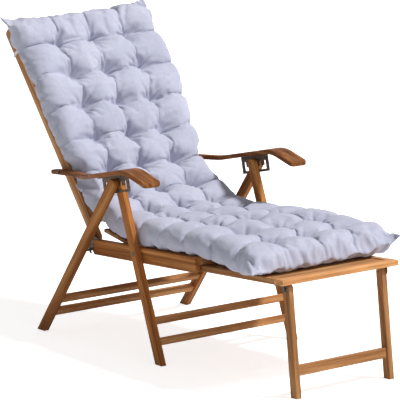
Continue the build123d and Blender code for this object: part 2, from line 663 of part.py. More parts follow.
def make_cushions():
    """The one long cushion, parted at the back pivot so that its two halves can turn."""
    crown = cushion_crown - cushion_valley
    level = stile_depth / 2 + cushion_lift
    bend = Location(back_pivot) * Circle(cushion_bend_radius)
    gap_bend = Location(back_pivot) * Circle(cushion_bend_radius + cushion_lift)

    # Back half
    rows = [cushion_head - cushion_side, cushion_head - cushion_end_row]
    while rows[-1] > cushion_row * 3 / 2:
        rows.append(rows[-1] - cushion_row)
    rows.append(0)
    valleys = [level + cushion_valley] * len(rows)
    floor_line = [(rows[0], level), (0, level)]
    face = side_profile(rows, floor_line, valleys, cushion_head, level)
    face = as_side(back_side, face) - gap_bend
    body = slab(side, face, -cushion_half_width, cushion_half_width)
    section = across_face(level, level + cushion_valley, crown)
    body &= extrude(across_plane(back_side, cushion_head) * section, amount=cushion_head)
    pinch = Pos((arm_pinch_from + arm_pinch_to) / 2, level + cushion_crown / 2) * RectangleRounded(
        arm_pinch_to - arm_pinch_from, cushion_crown * 2, arm_pinch_corner)
    pinch = slab(back_side, pinch, stile_outer + side_play - cushion_lift, cushion_half_width + overrun)
    bed = Pos(tie_at + tie_width / 2, level) * Rectangle(
        tie_width + tie_play * 2, (tie_thick + tie_play) * 2)
    bed = slab(back_side, bed, stile_inner - (tie_thick + tie_play) * 2, cushion_half_width + overrun)
    for cutter in both(pinch) + both(bed):
        body -= cutter
    keep("cushion_back", body)

    # Seat half, which lies on the slats, droops on to the footrest and fills the bend
    forward = back_angle - notch_step * (notch_count - 1) / 2
    low = cushion_lift
    drop = footrest_drop - cushion_lift
    rows = [-cushion_foot + cushion_side, -cushion_foot + cushion_end_row]
    while rows[-1] < back_pivot_u - cushion_row * 2:
        rows.append(rows[-1] + cushion_row)
    rows.append(back_pivot_u)

    bend_start = bend_tip + slat_seat / tan(radians(bend_slope))

    def floor_at(u):
        rise = bend_rise * max(0, (u - bend_start) / (bend_end - bend_start))
        return low + rise - drop * min(1, max(0, -u / foot_slope_length))

    valleys = [floor_at(u) + cushion_valley for u in rows]
    floor_line = [(u, floor_at(u)) for u in (rows[0], -foot_slope_length, 0, bend_start, back_pivot_u)]
    face = side_profile(rows, floor_line, valleys, -cushion_foot, low - drop)
    seat_top = half_plane(forward, level + cushion_crown + cushion_lift)
    above_seat = Pos(0, low) * Rectangle(cushion_head * 2, cushion_head, align=(Align.CENTER, Align.MIN))
    below_bend = make_face(Polyline(
        (bend_start, low), (back_pivot_u, floor_at(back_pivot_u)), (back_pivot_u, low), close=True))
    bump = bend & half_plane(forward, level) & as_side(seat_side, above_seat)
    bump -= as_side(seat_side, below_bend)
    hollow = Location(back_pivot) * Circle(cushion_hollow_radius)
    face = (as_side(seat_side, face) & seat_top) + bump - hollow
    body = slab(side, face, -cushion_half_width, cushion_half_width)
    section = across_face(low - drop, low + cushion_valley, crown)
    body &= extrude(across_plane(seat_side, back_pivot_u) * section, amount=back_pivot_u + cushion_foot)
    keep("cushion_seat", body)


make_front_legs()
make_rear_legs()
make_seat()
make_back()
make_arms()
make_footrest()
make_footrest_legs()
make_cushions()

# The origin is on the floor under the middle of the chair
whole = Compound([solid for group in nodes.values() for solid in group]).bounding_box()
middle_y = (whole.min.Y + whole.max.Y) / 2

os.makedirs("parts", exist_ok=True)
for name, group in nodes.items():
    placed = [Pos(0, -middle_y, 0) * solid for solid in group]
    shape = placed[0] if len(placed) == 1 else Compound(placed)
    export_step(shape, "parts/" + name + ".step")
print("nodes", len(nodes), "middle", round(middle_y, 3))
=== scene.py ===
# Looks for the reclining garden armchair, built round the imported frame
import json
import math

import bpy
import numpy as np
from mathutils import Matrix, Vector


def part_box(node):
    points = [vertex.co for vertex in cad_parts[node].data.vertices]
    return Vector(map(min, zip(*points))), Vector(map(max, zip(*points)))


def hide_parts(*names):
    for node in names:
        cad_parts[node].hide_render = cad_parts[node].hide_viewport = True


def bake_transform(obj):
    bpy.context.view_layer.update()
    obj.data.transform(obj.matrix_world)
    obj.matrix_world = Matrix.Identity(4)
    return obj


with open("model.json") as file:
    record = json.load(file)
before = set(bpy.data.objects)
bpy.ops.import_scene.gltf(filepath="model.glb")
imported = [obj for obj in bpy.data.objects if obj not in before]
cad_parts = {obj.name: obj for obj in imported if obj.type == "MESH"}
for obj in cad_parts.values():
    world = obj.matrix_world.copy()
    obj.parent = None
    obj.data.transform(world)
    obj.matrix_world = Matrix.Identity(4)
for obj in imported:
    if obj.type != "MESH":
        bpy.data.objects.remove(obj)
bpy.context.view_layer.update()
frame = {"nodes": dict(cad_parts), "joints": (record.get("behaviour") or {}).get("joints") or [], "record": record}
print("frame loaded")

scene = bpy.context.scene
joints = {joint["name"]: joint for joint in frame["joints"]}
seatPivot = Vector(joints["fold"]["pos_m"])
backPivot = Vector(joints["recline"]["pos_m"])
armPivot = Vector(joints["arm_left_tilt"]["pos_m"])
slideAxis = Vector(joints["footrest_slide"]["axis"])


# Wood, steel and cotton

def newMaterial(name):
    material = bpy.data.materials.new(name)
    material.use_nodes = True
    nodes = material.node_tree.nodes
    links = material.node_tree.links
    return material, nodes, links, nodes["Principled BSDF"]


def addNode(nodes, kind, **values):
    # a value goes to the node's input of that name, or else to its setting
    node = nodes.new(kind)
    for key, value in values.items():
        if key in node.inputs:
            node.inputs[key].default_value = value
        else:
            setattr(node, key, value)
    return node


def addRamp(nodes, links, source, stops):
    ramp = nodes.new("ShaderNodeValToRGB")
    elements = ramp.color_ramp.elements
    while len(elements) < len(stops):
        elements.new(0.5)
    for element, (place, colour) in zip(elements, stops):
        element.position = place
        element.color = (*colour, 1)
    links.new(source, ramp.inputs["Fac"])
    return ramp.outputs["Color"]


def addMultiply(nodes, links, amount, first, second):
    mix = nodes.new("ShaderNodeMix")
    mix.data_type = "RGBA"
    mix.blend_type = "MULTIPLY"
    mix.inputs["Factor"].default_value = amount
    links.new(first, mix.inputs[6])     # A and B of the colour mix
    links.new(second, mix.inputs[7])
    return mix.outputs[2]


def addBump(nodes, links, height, strength, distance):
    bump = addNode(nodes, "ShaderNodeBump", Strength=strength, Distance=distance)
    links.new(height, bump.inputs["Height"])
    return bump


woodLook = {
    "dark": (0.19, 0.060, 0.013),
    "middle": (0.39, 0.150, 0.040),
    "light": (0.58, 0.27, 0.088),
    "shadesAt": (0.28, 0.5, 0.74),      # where the streaks turn dark, middle and light
    "stretch": 26.0,                    # how much longer than wide the grain is
    "grainScale": 230.0,
    "streakScale": 60.0,
    "patchScale": 9.0,
    "grainStops": [(0.3, (0.55, 0.5, 0.46)), (0.62, (1, 1, 1))],
    "patchStops": [(0.3, (0.82, 0.8, 0.78)), (0.7, (1.12, 1.1, 1.08))],
    "grainShare": 0.6,                  # how strongly each darkens the streaks
    "patchShare": 0.7,
    "roughness": 0.5,
    "shine": 0.07,
    "bump": 0.12,
    "bumpDistance": 0.0006,
}
armLook = dict(woodLook, dark=(0.11, 0.033, 0.008), middle=(0.27, 0.096, 0.026), light=(0.50, 0.22, 0.075))
paleLook = dict(woodLook, dark=(0.24, 0.10, 0.036), middle=(0.42, 0.205, 0.082), light=(0.60, 0.34, 0.16))


def makeWood(name, along, tone=1.0, look=woodLook):
    # the grain runs along a direction given in the frame, and the tone lightens or darkens its shades
    material, nodes, links, shader = newMaterial(name)
    coords = addNode(nodes, "ShaderNodeTexCoord")
    turn = Vector(along).rotation_difference(Vector((1, 0, 0))).to_euler()
    mapping = addNode(nodes, "ShaderNodeMapping", Rotation=turn)
    links.new(coords.outputs["Object"], mapping.inputs["Vector"])
    squeeze = addNode(nodes, "ShaderNodeMapping", Scale=(1 / look["stretch"], 1, 1))
    links.new(mapping.outputs["Vector"], squeeze.inputs["Vector"])
    grain = addNode(nodes, "ShaderNodeTexNoise", Scale=look["grainScale"], Detail=6.0, Roughness=0.6)
    streak = addNode(nodes, "ShaderNodeTexNoise", Scale=look["streakScale"], Detail=3.0, Distortion=0.6)
    patch = addNode(nodes, "ShaderNodeTexNoise", Scale=look["patchScale"], Detail=2.0)
    links.new(squeeze.outputs["Vector"], grain.inputs["Vector"])
    links.new(squeeze.outputs["Vector"], streak.inputs["Vector"])
    links.new(coords.outputs["Object"], patch.inputs["Vector"])
    shades = [tuple(tone * part for part in look[key]) for key in ("dark", "middle", "light")]
    base = addRamp(nodes, links, streak.outputs["Fac"], list(zip(look["shadesAt"], shades)))
    fine = addRamp(nodes, links, grain.outputs["Fac"], look["grainStops"])
    broad = addRamp(nodes, links, patch.outputs["Fac"], look["patchStops"])
    colour = addMultiply(nodes, links, look["grainShare"], base, fine)
    colour = addMultiply(nodes, links, look["patchShare"], colour, broad)
    links.new(colour, shader.inputs["Base Color"])
    bump = addBump(nodes, links, grain.outputs["Fac"], look["bump"], look["bumpDistance"])
    links.new(bump.outputs["Normal"], shader.inputs["Normal"])
    shader.inputs["Roughness"].default_value = look["roughness"]
    shader.inputs["Specular IOR Level"].default_value = look["shine"]
    return material


steelLook = {
    "colour": (0.070, 0.046, 0.030),
    "worn": (0.24, 0.155, 0.085),
    "shadesAt": (0.45, 0.8),
    "wearScale": 140.0,
    "metallic": 0.5,
    "roughness": 0.55,
    "bump": 0.08,
    "bumpDistance": 0.0004,
}


def makeSteel(name, look=steelLook):
    # dark coated steel with worn flecks
    material, nodes, links, shader = newMaterial(name)
    coords = addNode(nodes, "ShaderNodeTexCoord")
    wear = addNode(nodes, "ShaderNodeTexNoise", Scale=look["wearScale"], Detail=5.0)
    links.new(coords.outputs["Object"], wear.inputs["Vector"])
    stops = list(zip(look["shadesAt"], (look["colour"], look["worn"])))
    links.new(addRamp(nodes, links, wear.outputs["Fac"], stops), shader.inputs["Base Color"])
    bump = addBump(nodes, links, wear.outputs["Fac"], look["bump"], look["bumpDistance"])
    links.new(bump.outputs["Normal"], shader.inputs["Normal"])
    shader.inputs["Metallic"].default_value = look["metallic"]
    shader.inputs["Roughness"].default_value = look["roughness"]
    return material


cottonLook = {
    "shade": (0.45, 0.46, 0.57),
    "lit": (0.52, 0.53, 0.64),
    "shadesAt": (0.3, 0.7),
    "mottleScale": 7.0,
    "slubScale": 90.0,
    "slubStops": [(0.35, (0.9, 0.9, 0.92)), (0.65, (1.04, 1.04, 1.04))],
    "slubShare": 0.7,
    "weaveScale": 310.0,
    "weaveBump": 0.12,
    "weaveDistance": 0.0003,
    "creaseScale": 34.0,
    "creaseBump": 0.35,
    "creaseDistance": 0.0035,
    "roughness": 0.9,
    "sheen": 0.25,
    "sheenRoughness": 0.5,
}


def makeCotton(name, look=cottonLook):
    # plain cotton: two crossed fine waves for the weave, with slubs and a soft mottle
    material, nodes, links, shader = newMaterial(name)
    coords = addNode(nodes, "ShaderNodeTexCoord")
    mottle = addNode(nodes, "ShaderNodeTexNoise", Scale=look["mottleScale"], Detail=4.0)
    slub = addNode(nodes, "ShaderNodeTexNoise", Scale=look["slubScale"], Detail=6.0, Roughness=0.7)
    crease = addNode(nodes, "ShaderNodeTexNoise", Scale=look["creaseScale"], Detail=4.0, Distortion=1.2)
    for texture in (mottle, slub, crease):
        links.new(coords.outputs["Object"], texture.inputs["Vector"])
    stops = list(zip(look["shadesAt"], (look["shade"], look["lit"])))
    base = addRamp(nodes, links, mottle.outputs["Fac"], stops)
    speck = addRamp(nodes, links, slub.outputs["Fac"], look["slubStops"])
    colour = addMultiply(nodes, links, look["slubShare"], base, speck)
    links.new(colour, shader.inputs["Base Color"])
    weave = addNode(nodes, "ShaderNodeMath", operation="ADD")
    for socket, axis in enumerate(("X", "Y")):
        threads = addNode(nodes, "ShaderNodeTexWave", bands_direction=axis, Scale=look["weaveScale"])
        links.new(coords.outputs["Object"], threads.inputs["Vector"])
        links.new(threads.outputs["Fac"], weave.inputs[socket])
    weaveBump = addBump(nodes, links, weave.outputs[0], look["weaveBump"], look["weaveDistance"])
    creaseBump = addBump(nodes, links, crease.outputs["Fac"], look["creaseBump"], look["creaseDistance"])
    links.new(weaveBump.outputs["Normal"], creaseBump.inputs["Normal"])
    links.new(creaseBump.outputs["Normal"], shader.inputs["Normal"])
    shader.inputs["Roughness"].default_value = look["roughness"]
    shader.inputs["Sheen Weight"].default_value = look["sheen"]
    shader.inputs["Sheen Roughness"].default_value = look["sheenRoughness"]
    return material


def slopeWay(name, lean):
    # the long direction of a sloping bar, from its box: lean is 1 with the top to the rear, or else -1
    low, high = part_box(name)
    return Vector((0, (high.y - low.y) * lean, high.z - low.z)).normalized()


acrossWay = Vector((1, 0, 0))
levelWay = Vector((0, 1, 0))

woods = {
    "front_leg_left": makeWood("woodFrontLeg", slopeWay("front_leg_left", 1), 1.3),
    "rear_leg_left": makeWood("woodRearLeg", slopeWay("rear_leg_left", -1)),
    "seat_rail_left": makeWood("woodSeatRail", slideAxis, 1.15),
    "back_stile_left": makeWood("woodStile", slopeWay("back_stile_left", 1), 1.35, paleLook),
    "arm_left": makeWood("woodArm", levelWay, 0.95, armLook),
    "footrest_leg_left": makeWood("woodFootrestLeg", slopeWay("footrest_leg_left", 1), 1.0, paleLook),
    "footrest_rail_left": makeWood("woodFootrest", slideAxis, 1.2, paleLook),
    "footrest_board": makeWood("woodBoard", acrossWay, 1.75, paleLook),
    # painted light: the crossbars sit in the seat's shade, and this lighter wood tone brightens them against that
    # shade
    "bar": makeWood("woodBarLightenedAgainstShade", acrossWay, 1.35, paleLook),
    "slat": makeWood("woodAcross", acrossWay, 1.1, paleLook),
}
for key in list(woods):
    if key.endswith("_left"):
        woods[key.replace("_left", "_right")] = woods[key]
woods["seat_cleats"] = woods["seat_rail_left"]
# the four crossbars under the seat share the lighter tone that is painted to offset the seat's shade
for key in ("front_rail_upper", "front_rail_lower", "rear_rail_upper", "rear_rail_lower"):
    woods[key] = woods["bar"]

cotton = makeCotton("cushionCotton")
otherFinishes = {
    "dark_steel": makeSteel("darkSteel"),
    "cushion_cotton": cotton,
    "white_tape": makeCotton("whiteTape", dict(cottonLook, shade=(0.78, 0.78, 0.8), lit=(0.86, 0.86, 0.88))),
}
slotOf = {entry["node"]: entry["material_slot"] for entry in frame["record"]["subparts"]}
for name, node in frame["nodes"].items():
    finish = otherFinishes.get(slotOf[name]) or woods.get(name, woods["slat"])
    node.data.materials.clear()
    node.data.materials.append(finish)
print("materials on", len(frame["nodes"]), "nodes")


# The long cushion, and the line that it lies along in the side view

pad = {
    "clear": 0.0008,          # above what it lies on
    "footPast": 0.307,        # foot end, ahead of the seat's front
    "drop": 0.0285,           # from the seat's top to the footrest's top
    "dropOver": 0.17,         # length of the ramp between them
    "rampFrom": 0.326,        # raised slats below the bend, from the seat's front
    "rampAngle": 13.3,
    "backAngle": 38.0,
    "stileFront": 0.018,      # front face of the stiles, from the back pivot
    "headAlong": 0.771,
    "reaches": (0.05, 0.06, 0.05, 0.15),     # where the curve round each corner of the line begins
    "endRow": 0.132,          # first and last row of tufts, from the ends
    "rowPitch": 0.115,
    "seatRows": 6,
    "backRows": 5,
    "columns": (-0.122, 0.0, 0.122),
    "halfWidth": 0.247,
    "rowNip": 0.004,          # how far each row draws the sides in
    "cornerOut": 0.036,       # how far the corners stand out sideways
    "cornerPast": 0.016,      # and past the middle of the end
    "cornerReach": 0.060,     # and how far from the end that is felt
    "step": 0.0065,           # mesh spacing
    "pinned": 0.10,           # the border is held still up to here from the ends
}

tilt = math.radians(pad["backAngle"])
backWay = Vector((0, math.sin(tilt), math.cos(tilt)))
backUp = Vector((0, -backWay.z, backWay.y))
seatBack = Vector((0, slideAxis.y, slideAxis.z))
seatUp = Vector((0, -slideAxis.z, slideAxis.y))
railLow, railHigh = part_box("seat_rail_left")
seatFront = Vector((0, railLow.y, railHigh.z))


def meet(start, way, other, otherWay):
    # where two lines of the side view cross
    gap = other - start
    cross = way.y * otherWay.z - way.z * otherWay.y
    return start + way * ((gap.y * otherWay.z - gap.z * otherWay.y) / cross)


def roundedPath(corners, reaches, spacing=0.004, curveSteps=40):
    # a line through corners, each rounded by a curve that starts a reach before it
    points = [corners[0]]
    for before, corner, after, reach in zip(corners, corners[1:], corners[2:], reaches):
        start = corner + (before - corner).normalized() * reach
        stop = corner + (after - corner).normalized() * reach
        for share in np.linspace(0, 1, curveSteps):
            points.append(start * (1 - share) ** 2 + corner * 2 * share * (1 - share) + stop * share ** 2)
    points.append(corners[-1])
    raw = np.array([(p.y, p.z) for p in points])
    length = np.concatenate(([0], np.cumsum(np.linalg.norm(np.diff(raw, axis=0), axis=1))))
    places = np.linspace(0, length[-1], int(length[-1] / spacing) + 1)
    return places, np.stack([np.interp(places, length, raw[:, k]) for k in (0, 1)], 1)


def padPath(look=pad):
    lift = seatUp * look["clear"]
    footTop = seatFront - seatUp * look["drop"] + lift
    foot = footTop - seatBack * look["footPast"]
    crease = footTop - seatBack * look["dropOver"]
    front = seatFront + lift
    ramp = front + seatBack * look["rampFrom"]
    angle = math.radians(look["rampAngle"])
    rampWay = seatBack * math.cos(angle) + seatUp * math.sin(angle)
    level = backPivot + backUp * (look["stileFront"] + look["clear"])
    corner = meet(ramp, rampWay, level, backWay)
    head = level + backWay * look["headAlong"]
    return roundedPath([foot, crease, front, ramp, corner, head], look["reaches"])


pathPlaces, pathLine = padPath()
padLength = pathPlaces[-1]
print("cushion path", round(padLength, 3))


def rowPlaces(look=pad):
    # even rows from both ends, and one half way between the two sets
    seat = [look["endRow"] + look["rowPitch"] * k for k in range(look["seatRows"])]
    back = [padLength - look["endRow"] - look["rowPitch"] * k for k in range(look["backRows"])]
    return sorted(seat + [(seat[-1] + back[-1]) / 2] + back)


rows = np.array(rowPlaces())
columns = np.array(pad["columns"])
print("rows", rows.round(3))


# The cushion laid flat: X across it, Y along it from the foot end, Z up

def nearest(values, lines):
    # how far each value is from the line next to it
    return np.min(np.abs(np.asarray(values)[..., None] - lines), axis=-1)


def fromLine(values, lines, look=pad):
    # 0 on the nearest sewn line, 1 half way to the next or in the open beyond the last
    return np.sin(np.pi / 2 * np.clip(nearest(values, lines) / (look["rowPitch"] / 2), 0, 1))


def ease(value):
    value = np.clip(value, 0, 1)
    return value * value * (3 - 2 * value)


def cornerShare(s, look=pad):
    # 1 at both ends, gone a hand's width from them
    toEnd = np.clip(np.minimum(s, padLength - s), 0, None)
    return np.exp(-((toEnd / look["cornerReach"]) ** 1.2))


def halfWidthAt(s, look=pad):
    nip = look["rowNip"] * (1 - fromLine(s, rows)) ** 2
    return look["halfWidth"] + look["cornerOut"] * cornerShare(s) - nip


puffs = {
    "valley": 0.033,          # height of the sewn lines
    "crown": 0.072,           # height of a full puff
    "rowWander": ((0.005, 11, 19), (0.003, -5, 43)),       # size, waves along and waves across
    "columnWander": ((0.004, 23, 0), (0.003, 51, 9)),
    "dimple": 0.9,            # share of the height that a tuft takes away
    "dimpleReach": 0.023,
    "dimpleCurve": 1.1,
    "rowCrease": 0.24,
    "rowCreaseAside": 0.14,   # added beyond the outer columns
    "asideOver": 0.03,
    "columnCrease": 0.16,
    "uneven": 0.09,           # how differently the puffs are filled
}


def wander(values, s, x, waves):
    for size, along, across in waves:
        values = values + size * np.sin(along * s + across * x)
    return values


def topHeight(s, x, look=puffs):
    # the creases wander a little, and every puff is filled a little differently
    alongLine = fromLine(wander(s, s, x, look["rowWander"]), rows)
    acrossLine = fromLine(wander(x, s, x, look["columnWander"]), columns)
    fromTuft = np.hypot(nearest(s, rows), nearest(x, columns))
    dimple = np.exp(-((fromTuft / look["dimpleReach"]) ** look["dimpleCurve"]))
    outside = np.clip((np.abs(x) - columns[-1]) / look["asideOver"], 0, 1)
    rowCrease = look["rowCrease"] + look["rowCreaseAside"] * outside
    crease = rowCrease * (1 - alongLine) ** 2 + look["columnCrease"] * (1 - acrossLine) ** 2
    full = 1 - np.clip(look["dimple"] * dimple + crease, 0, 1)
    full = full * (1 + look["uneven"] * np.sin(37 * s + 29 * x) * np.sin(31 * x - 17 * s))
    return look["valley"] + (look["crown"] - look["valley"]) * full


border = {
    "seam": 0.032,            # height of the border seam at the sides and corners
    "endSeam": 0.016,         # and at the middle of the ends
    "farTip": 0.020,          # the far corner of the foot end stands up, the near one lies
    "headTip": 0.016,         # both corners of the head end stand up
    "tipReach": 0.12,
    "waver": 0.002,           # the seam goes a little up and down
    "drawnReach": 0.09,       # the middle of each end is drawn in over this length
    "headSlant": 0.009,       # the head end runs a little askew
    "slantReach": 0.3,
    "endRound": 0.08,         # the pad rises from its border over these widths
    "sideRound": 0.050,
    "endCurve": 2.6,
    "sideCurve": 2.2,
    "cornerFlat": 0.45,       # how much of the height the corners lose
    "cornerWide": 0.09,
}


def quads(index, turn):
    corners = [index[:-1, :-1], index[:-1, 1:], index[1:, 1:], index[1:, :-1]]
    return np.stack(corners[::turn], -1).reshape(-1, 4)


def makePadMesh(look=border):
    # a closed flat pillow: a top and an underside that share their border
    countS = int(padLength / pad["step"])
    countX = int(2 * pad["halfWidth"] / pad["step"])
    placesS = np.linspace(0, padLength, countS + 1)
    shares = np.linspace(-1, 1, countX + 1)
    s, share = np.meshgrid(placesS, shares, indexing="ij")
    outward = np.abs(share)
    half = halfWidthAt(s)
    x = share * half
    fromEnd = np.minimum(s, padLength - s)
    fromSide = (1 - outward) * half

    drawn = pad["cornerPast"] * (1 - outward ** 4) * np.clip(1 - fromEnd / look["drawnReach"], 0, 1) ** 2
    along = s + drawn * np.where(s < padLength / 2, 1, -1)
    nearHead = np.clip((s - padLength + look["slantReach"]) / look["slantReach"], 0, 1)
    along = along + look["headSlant"] * share * nearHead

    endShare = np.clip(fromEnd / look["endRound"], 0, 1)
    sideShare = np.clip(fromSide / look["sideRound"], 0, 1)
    rise = (1 - (1 - endShare) ** look["endCurve"]) * np.sqrt(1 - (1 - sideShare) ** look["sideCurve"])
    flatter = look["cornerFlat"] * (1 - endShare) * (1 - np.clip(fromSide / look["cornerWide"], 0, 1))
    rise = rise * (1 - flatter)

    middle = (1 - outward ** 3) * np.clip(1 - fromEnd / look["endRound"], 0, 1)
    seam = look["seam"] + (look["endSeam"] - look["seam"]) * middle
    seam = seam + look["farTip"] * share ** 3 * np.clip(1 - s / look["tipReach"], 0, 1)
    seam = seam + look["headTip"] * outward ** 3 * np.clip(1 - (padLength - s) / look["tipReach"], 0, 1)
    seam = seam + look["waver"] * np.sin(95 * s + 70 * x)
    top = seam + (topHeight(s, x) - seam) * rise
    under = seam * (1 - rise)

    onBorder = (fromEnd < 1e-9) | (outward > 1 - 1e-9)
    inner = ~onBorder.reshape(-1)
    upper = np.stack([x, along, top], -1).reshape(-1, 3)
    lower = np.stack([x, along, under], -1).reshape(-1, 3)
    number = np.arange(len(upper)).reshape(s.shape)
    lowNumber = number.reshape(-1).copy()
    lowNumber[inner] = len(upper) + np.arange(int(inner.sum()))
    lowNumber = lowNumber.reshape(s.shape)
    points = np.concatenate([upper, lower[inner]])
    faces = np.concatenate([quads(number, 1), quads(lowNumber, -1)])
    mesh = bpy.data.meshes.new("cushion")
    mesh.from_pydata(points.tolist(), [], faces.tolist())
    mesh.update()
    return mesh, len(upper), number[onBorder & (fromEnd < pad["pinned"])]


def readPoints(mesh):
    flat = np.empty(len(mesh.vertices) * 3)
    mesh.vertices.foreach_get("co", flat)
    return flat.reshape(-1, 3)


def writePoints(mesh, points):
    mesh.vertices.foreach_set("co", points.ravel())
    mesh.update()


stuffing = {
    "pressure": 5.5,
    "extra": 0.16,            # how much wider the cloth is cut than the pad
    "weight": 0.25,
    "stiff": 35,
    "bending": 0.02,
    "frames": 24,
    "tuft": 0.008,            # radius of cloth that a tuft holds
    "bed": 0.045,             # the underside is held from here inward
    "cap": 0.028,             # no point swells further than this
}


def stuff(holder, mesh, upperCount, stillBorder, look=stuffing):
    # cloth simulation: the cover swells between its tufts and seams, and wrinkles round them
    start = readPoints(mesh)
    number = np.arange(len(start))
    isUpper = number < upperCount
    x, s = start[:, 0], start[:, 1]
    held = isUpper & (np.hypot(nearest(s, rows), nearest(x, columns)) < look["tuft"])
    fromSide = halfWidthAt(s) - np.abs(x)
    fromEnd = np.minimum(s, padLength - s)
    held |= ~isUpper & (np.minimum(fromSide, fromEnd) > look["bed"])
    held[stillBorder] = True
    group = holder.vertex_groups.new(name="held")
    group.add([int(n) for n in number[held]], 1.0, "REPLACE")
    cloth = holder.modifiers.new("cloth", "CLOTH")
    settings = cloth.settings
    settings.quality = 5
    settings.mass = look["weight"]
    settings.tension_stiffness = look["stiff"]
    settings.compression_stiffness = look["stiff"]
    settings.shear_stiffness = look["stiff"] / 3
    settings.bending_stiffness = look["bending"]
    settings.use_pressure = True
    settings.uniform_pressure_force = look["pressure"]
    settings.shrink_min = -look["extra"]
    settings.vertex_group_mass = "held"
    settings.effector_weights.gravity = 0
    cloth.collision_settings.use_collision = False
    cloth.collision_settings.use_self_collision = False
    cloth.point_cache.frame_start = 1
    cloth.point_cache.frame_end = look["frames"]
    for step in range(1, look["frames"] + 1):
        scene.frame_set(step)
    shown = holder.evaluated_get(bpy.context.evaluated_depsgraph_get())
    points = readPoints(shown.data)
    holder.modifiers.remove(cloth)
    holder.vertex_groups.remove(group)
    scene.frame_set(1)
    move = points - start
    far = np.linalg.norm(move, axis=1)
    print("swell", far.max().round(4), np.percentile(far, 90).round(4))
    move *= (look["cap"] * np.tanh(far / look["cap"]) / np.maximum(far, 1e-9))[:, None]
    points = start + move
    points[:, 2] = np.maximum(points[:, 2], 0)
    writePoints(mesh, points)


def divide(holder, mesh):
    # one subdivision, written into the mesh
    smooth = holder.modifiers.new("smooth", "SUBSURF")
    smooth.levels = 1
    smooth.render_levels = 1
    shown = holder.evaluated_get(bpy.context.evaluated_depsgraph_get())
    finer = bpy.data.meshes.new_from_object(shown)
    holder.modifiers.remove(smooth)
    holder.data = finer
    bpy.data.meshes.remove(mesh)
    finer.name = "cushion"
    return finer


# Pleats that run out from every tuft and in from the border seam, and folds across some puffs

wrinkle = {
    "tuftDepth": 0.0120,
    "tuftReach": 0.050,
    "tuftBare": 0.016,        # pleats begin this far from the tuft
    "tuftPleats": (3, 6),     # fewest, and one more than the most on half a turn
    "pleatBend": 0.6,
    "pleatSharp": 0.8,
    "pleatLevel": 0.75,       # this much of each wave lies below the cloth
    "edgeDepth": 0.0070,
    "edgeReach": 0.038,
    "edgeBare": 0.008,
    "edgePitch": 0.031,
    "edgeWander": (0.010, 0.006),       # edge pleats stand unevenly, by a coarse and a fine wave
    "edgeSlant": 0.7,
    "edgeLevel": 0.7,
    "cornerFade": 0.02,       # edge pleats die out this near to a corner's diagonal
    "foldDepth": 0.0028,
    "foldPitch": 0.030,
    "foldReach": 0.075,
    "foldTurn": 1.2,          # folds turn up to this much from straight across
    "seamFade": 0.015,        # all wrinkles die out near the bed
    "cornerCalm": 0.06,       # and at the corners
}


def tuftPleats(offS, offX, phase, count, look=wrinkle):
    away = np.hypot(offS, offX)
    turn = np.arctan2(offS, offX)
    pleat = np.abs(np.sin(count * turn + phase + look["pleatBend"] * np.sin(2 * turn + phase)))
    pleat = pleat ** look["pleatSharp"] - look["pleatLevel"]
    uneven = np.clip(0.45 + 0.6 * np.sin(3 * turn + 2 * phase), 0.05, 1)
    fade = np.clip(away / look["tuftBare"], 0, 1) * np.exp(-((away / look["tuftReach"]) ** 2))
    return look["tuftDepth"] * pleat * uneven * fade


def edgePleats(s, x, h, fromSide, fromEnd, look=wrinkle):
    inward = np.hypot(np.minimum(fromSide, fromEnd), np.abs(h - border["seam"]))
    place = np.where(fromSide < fromEnd, s, x)
    coarse, fine = look["edgeWander"]
    place = place + coarse * np.sin(37 * place + 5) + fine * np.sin(83 * place)
    strength = np.clip(0.4 + 0.7 * np.sin(29 * place + 7 * np.sin(5.3 * place)), 0, 1)
    slant = look["edgeSlant"] * np.sin(9 * place + 2)
    pleat = np.abs(np.sin(np.pi * (place + slant * inward) / look["edgePitch"])) - look["edgeLevel"]
    fade = np.clip(inward / look["edgeBare"], 0, 1) * np.exp(-((inward / look["edgeReach"]) ** 1.5))
    nearCorner = ease(np.abs(fromSide - fromEnd) / look["cornerFade"])
    return look["edgeDepth"] * pleat * strength * fade * nearCorner


def puffFolds(s, x, offS, offX, phase, heading, look=wrinkle):
    across = offS * np.cos(heading) + offX * np.sin(heading)
    fade = ease(1 - np.hypot(offS, offX) / look["foldReach"])
    ripple = np.sin(2 * np.pi * across / look["foldPitch"] + phase) * fade
    patch = ease(np.sin(27 * s + 4 * np.sin(19 * x)) * np.sin(33 * x + 3 * np.sin(13 * s)) * 1.6)
    return look["foldDepth"] * ripple * patch


def addWrinkles(mesh, look=wrinkle):
    points = readPoints(mesh)
    flatNormals = np.empty(len(points) * 3)
    mesh.vertices.foreach_get("normal", flatNormals)
    normals = flatNormals.reshape(-1, 3)
    x, s, h = points.T
    row = np.argmin(np.abs(s[:, None] - rows), axis=1)
    column = np.argmin(np.abs(x[:, None] - columns), axis=1)
    offS, offX = s - rows[row], x - columns[column]
    chance = np.random.default_rng(11)
    tuftCount = (len(rows), len(columns))
    phase = chance.uniform(0, np.pi, tuftCount)[row, column]
    count = chance.integers(*look["tuftPleats"], tuftCount)[row, column]
    heading = chance.uniform(-look["foldTurn"], look["foldTurn"], tuftCount)[row, column]
    fromSide = np.clip(halfWidthAt(s) - np.abs(x), 0, None)
    fromEnd = np.clip(np.minimum(s, padLength - s), 0, None)
    depth = tuftPleats(offS, offX, phase, count)
    depth += edgePleats(s, x, h, fromSide, fromEnd)
    depth += puffFolds(s, x, offS, offX, phase, heading)
    calm = ease(np.maximum(fromSide, fromEnd) / look["cornerCalm"])
    depth *= np.clip(h / look["seamFade"], 0, 1) * calm
    writePoints(mesh, points + normals * depth[:, None])


# The far (+X) side of the cushion lies a little wider at both ends, and fuller at the foot

farSide = {
    "aside": 0.038,
    "asideFoot": 0.40,        # from here to the foot end
    "asideFootFade": 0.2,
    "asideHead": 0.58,        # from this far before the head end
    "asideHeadFade": 0.3,
    "asideLost": 0.7,         # share that the corners don't follow
    "full": 0.10,
    "fullFoot": 0.5,
    "fullFade": 0.2,
}


